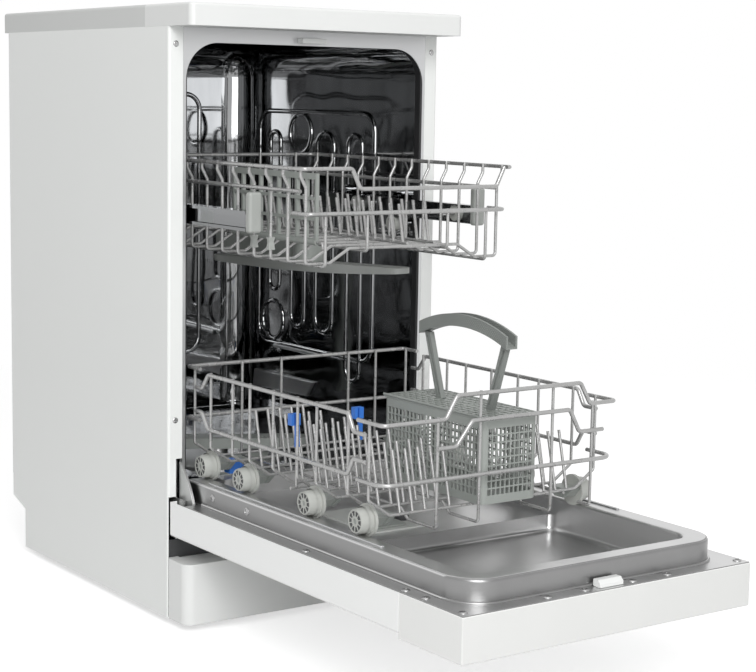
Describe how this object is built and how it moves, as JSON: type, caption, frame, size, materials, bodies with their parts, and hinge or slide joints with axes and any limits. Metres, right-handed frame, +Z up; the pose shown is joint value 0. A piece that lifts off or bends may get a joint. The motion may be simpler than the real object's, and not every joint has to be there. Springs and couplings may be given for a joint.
{
  "type": "slimline dishwasher",
  "caption": "Slim free-standing dishwasher with its drop-down door open, both wire racks drawn out on wheels and rails, spray arms and a lattice cutlery basket.",
  "frame": {"origin": "on the floor under the middle of the worktop's front edge, which is the centre of the plan box", "axes": "+X to the machine's right seen from the front, +Y to its back, +Z up"},
  "size_m": [0.448, 1.196, 0.85],
  "materials": {
    "white_enamel": "satin white enamel",
    "white_board": "white laminate over board",
    "white_plastic": "white moulded plastic",
    "stainless": "bright stainless sheet",
    "galvanised": "plain zinc-plated sheet",
    "rack_coat": "pale grey coated wire",
    "grey_plastic": "grey moulded plastic",
    "wheel_plastic": "pale grey moulded plastic",
    "blue_plastic": "blue moulded plastic",
    "dark_plastic": "black moulded plastic",
    "gasket_rubber": "soft black rubber",
    "zinc": "zinc-plated screw",
    "pump_body": "cast pump housing",
    "circuit": "green circuit board"
  },
  "bodies": {
    "cabinet": {"worktop": "white_board", "worktop_front_trim": "white_plastic", "left_side_panel": "white_enamel", "right_side_panel": "white_enamel", "rear_panel": "galvanised", "base_tray": "dark_plastic", "plinth": "white_plastic", "levelling_feet": "dark_plastic", "tub_wrapper": "stainless", "tub_rear_wall": "stainless", "tub_floor": "stainless", "tub_front_frame": "stainless", "door_gasket": "gasket_rubber", "latch_strike": "white_plastic", "hinge_plates": "galvanised", "door_springs": "galvanised", "sump": "dark_plastic", "wash_and_drain_pumps": "pump_body", "inlet_valve": "white_plastic", "softener_tank": "white_plastic", "filter_plate": "stainless", "feed_pipe": "grey_plastic", "cabinet_screws": "zinc"},
    "lower_arm": {"lower_spray_arm": "grey_plastic"},
    "salt_cap": {"salt_cap": "white_plastic"},
    "micro_filter": {"micro_filter": "grey_plastic"},
    "tub_rollers": {"tub_rollers": "wheel_plastic"},
    "rails": {"upper_rails": "stainless", "rail_end_caps": "grey_plastic"},
    "upper_rack": {"upper_rack_rims": "rack_coat", "upper_rack_wires": "rack_coat", "upper_spray_manifold": "grey_plastic"},
    "upper_arm": {"upper_spray_arm": "grey_plastic"},
    "cup_shelf": {"cup_shelf": "grey_plastic"},
    "rack_rollers_front": {"rack_rollers_front": "wheel_plastic"},
    "rack_rollers_rear": {"rack_rollers_rear": "wheel_plastic"},
    "lower_rack": {"lower_rack_rims": "rack_coat", "lower_rack_wires": "rack_coat", "wheel_clips": "grey_plastic"},
    "wheels_rear": {"rack_wheels_rear": "wheel_plastic"},
    "wheels_mid_rear": {"rack_wheels_mid_rear": "wheel_plastic"},
    "wheels_mid_front": {"rack_wheels_mid_front": "wheel_plastic"},
    "wheels_front": {"rack_wheels_front": "wheel_plastic"},
    "fold_row": {"folding_tines": "rack_coat", "tine_clips": "blue_plastic"},
    "basket": {"cutlery_basket": "grey_plastic", "cutlery_handle": "grey_plastic"},
    "basket_lid": {"cutlery_lid": "grey_plastic"},
    "door": {"door_outer_panel": "white_enamel", "door_inner_panel": "stainless", "control_fascia": "white_plastic", "hinge_arms": "galvanised", "dispenser_body": "grey_plastic", "control_board": "circuit", "door_screws": "zinc"},
    "dispenser_lid": {"dispenser_lid": "grey_plastic"},
    "rinse_cap": {"rinse_aid_cap": "dark_plastic"},
    "latch": {"door_latch": "white_plastic"},
    "power_button": {"power_button": "white_plastic"},
    "start_button": {"start_button": "white_plastic"}
  },
  "joints": [
    {"name": "door_hinge", "type": "hinge", "parent": "cabinet", "child": "door", "pos_m": [0, 0.046, 0.168], "axis": [1, 0, 0], "range_deg": [0, 2.5]},
    {"name": "lower_rack_slide", "type": "slide", "parent": "cabinet", "child": "lower_rack", "axis": [0, 1, 0], "range_m": [0, 0.473]},
    {"name": "upper_rack_slide", "type": "slide", "parent": "cabinet", "child": "upper_rack", "axis": [0, 1, 0], "range_m": [0, 0.252]},
    {"name": "rails_slide", "type": "slide", "parent": "cabinet", "child": "rails", "axis": [0, 1, 0], "range_m": [0, 0.172]},
    {"name": "tub_rollers_spin", "type": "hinge", "parent": "cabinet", "child": "tub_rollers", "pos_m": [0, 0.105, 0.5439], "axis": [1, 0, 0], "range_deg": [-830, 0]},
    {"name": "rack_rollers_front_spin", "type": "hinge", "parent": "upper_rack", "child": "rack_rollers_front", "pos_m": [0, -0.0475, 0.569], "axis": [1, 0, 0], "range_deg": [-415, 0]},
    {"name": "rack_rollers_rear_spin", "type": "hinge", "parent": "upper_rack", "child": "rack_rollers_rear", "pos_m": [0, 0.2015, 0.569], "axis": [1, 0, 0], "range_deg": [-415, 0]},
    {"name": "wheels_rear_spin", "type": "hinge", "parent": "lower_rack", "child": "wheels_rear", "pos_m": [0, 0.042, 0.2226], "axis": [1, 0, 0], "range_deg": [-1560, 0]},
    {"name": "wheels_mid_rear_spin", "type": "hinge", "parent": "lower_rack", "child": "wheels_mid_rear", "pos_m": [0, -0.06, 0.2226], "axis": [1, 0, 0], "range_deg": [-1560, 0]},
    {"name": "wheels_mid_front_spin", "type": "hinge", "parent": "lower_rack", "child": "wheels_mid_front", "pos_m": [0, -0.22, 0.2226], "axis": [1, 0, 0], "range_deg": [-1560, 0]},
    {"name": "wheels_front_spin", "type": "hinge", "parent": "lower_rack", "child": "wheels_front", "pos_m": [0, -0.334, 0.2226], "axis": [1, 0, 0], "range_deg": [-1560, 0]},
    {"name": "upper_arm_spin", "type": "hinge", "parent": "upper_rack", "child": "upper_arm", "pos_m": [0, 0.057, 0.49], "axis": [0, 0, 1], "continuous": true},
    {"name": "lower_arm_spin", "type": "hinge", "parent": "cabinet", "child": "lower_arm", "pos_m": [0, 0.31, 0.195], "axis": [0, 0, 1], "continuous": true},
    {"name": "cup_shelf_fold", "type": "hinge", "parent": "upper_rack", "child": "cup_shelf", "pos_m": [-0.1005, 0, 0.541], "axis": [0, 1, 0], "range_deg": [0, 80]},
    {"name": "fold_row_fold", "type": "hinge", "parent": "lower_rack", "child": "fold_row", "pos_m": [-0.1045, -0.167, 0.2305], "axis": [1, 0, 0], "range_deg": [-55, 0]},
    {"name": "basket_lift", "type": "slide", "parent": "lower_rack", "child": "basket", "axis": [0, 0, -1], "range_m": [-0.11, 0]},
    {"name": "basket_lid_hinge", "type": "hinge", "parent": "basket", "child": "basket_lid", "pos_m": [-0.025, -0.273, 0.3421], "axis": [0, 1, 0], "range_deg": [-110, 0]},
    {"name": "dispenser_lid_slide", "type": "slide", "parent": "door", "child": "dispenser_lid", "axis": [0, 1, 0], "range_m": [0, 0.055]},
    {"name": "rinse_cap_turn", "type": "hinge", "parent": "door", "child": "rinse_cap", "pos_m": [-0.03, -0.219, 0.185], "axis": [0, 0, 1], "range_deg": [0, 90]},
    {"name": "salt_cap_turn", "type": "hinge", "parent": "cabinet", "child": "salt_cap", "pos_m": [-0.112, 0.488, 0.18], "axis": [0, 0, 1], "range_deg": [0, 270]},
    {"name": "micro_filter_turn", "type": "hinge", "parent": "cabinet", "child": "micro_filter", "pos_m": [0.036, 0.274, 0.17], "axis": [0, 0, 1], "range_deg": [0, 90]},
    {"name": "latch_flick", "type": "hinge", "parent": "door", "child": "latch", "pos_m": [0, -0.5811, 0.1789], "axis": [1, 0, 0], "range_deg": [-8, 0], "stiffness_Nm_per_rad": 0.3},
    {"name": "power_button_press", "type": "slide", "parent": "door", "child": "power_button", "axis": [0, 0, 1], "range_m": [0, 0.002], "stiffness_N_per_m": 300, "springref_m": -0.001},
    {"name": "start_button_press", "type": "slide", "parent": "door", "child": "start_button", "axis": [0, 0, 1], "range_m": [0, 0.002], "stiffness_N_per_m": 300, "springref_m": -0.001}
  ],
  "couplings": [
    {"joint": "rails_slide", "follows": "upper_rack_slide", "ratio": 0.68},
    {"joint": "tub_rollers_spin", "follows": "upper_rack_slide", "rad_per_m": -56.667},
    {"joint": "rack_rollers_front_spin", "follows": "upper_rack_slide", "rad_per_m": -28.07},
    {"joint": "rack_rollers_rear_spin", "follows": "upper_rack_slide", "rad_per_m": -28.07},
    {"joint": "wheels_rear_spin", "follows": "lower_rack_slide", "rad_per_m": -57.143},
    {"joint": "wheels_mid_rear_spin", "follows": "lower_rack_slide", "rad_per_m": -57.143},
    {"joint": "wheels_mid_front_spin", "follows": "lower_rack_slide", "rad_per_m": -57.143},
    {"joint": "wheels_front_spin", "follows": "lower_rack_slide", "rad_per_m": -57.143}
  ]
}
